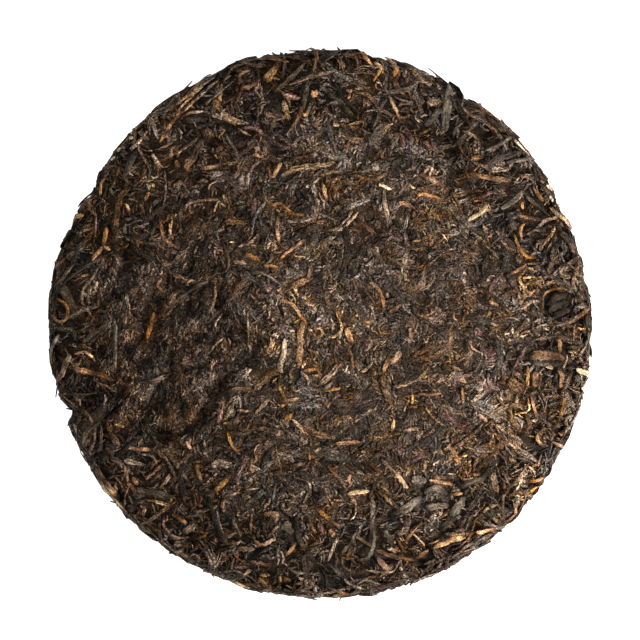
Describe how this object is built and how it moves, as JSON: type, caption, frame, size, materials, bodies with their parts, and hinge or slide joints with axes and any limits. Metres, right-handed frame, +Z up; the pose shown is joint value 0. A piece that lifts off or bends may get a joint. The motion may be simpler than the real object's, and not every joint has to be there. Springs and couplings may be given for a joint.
{
  "type": "pressed tea cake",
  "caption": "Round domed cake of dark fermented tea leaves pressed together, with golden tips, pale stems, a loose leafy rim and a hollow in the back.",
  "frame": {"origin": "centre of the outline, on the plane that the cake rests on", "axes": "+Z up out of the domed face, +X to the right and +Y to the top of the face as seen from above"},
  "size_m": [0.1986, 0.2024, 0.0245],
  "materials": {
    "dark_leaf": "dry rolled leaf, dark brown to black, faint sheen on the pressed face"
  },
  "bodies": {
    "root": {"tea_cake": "dark_leaf"}
  },
  "joints": []
}
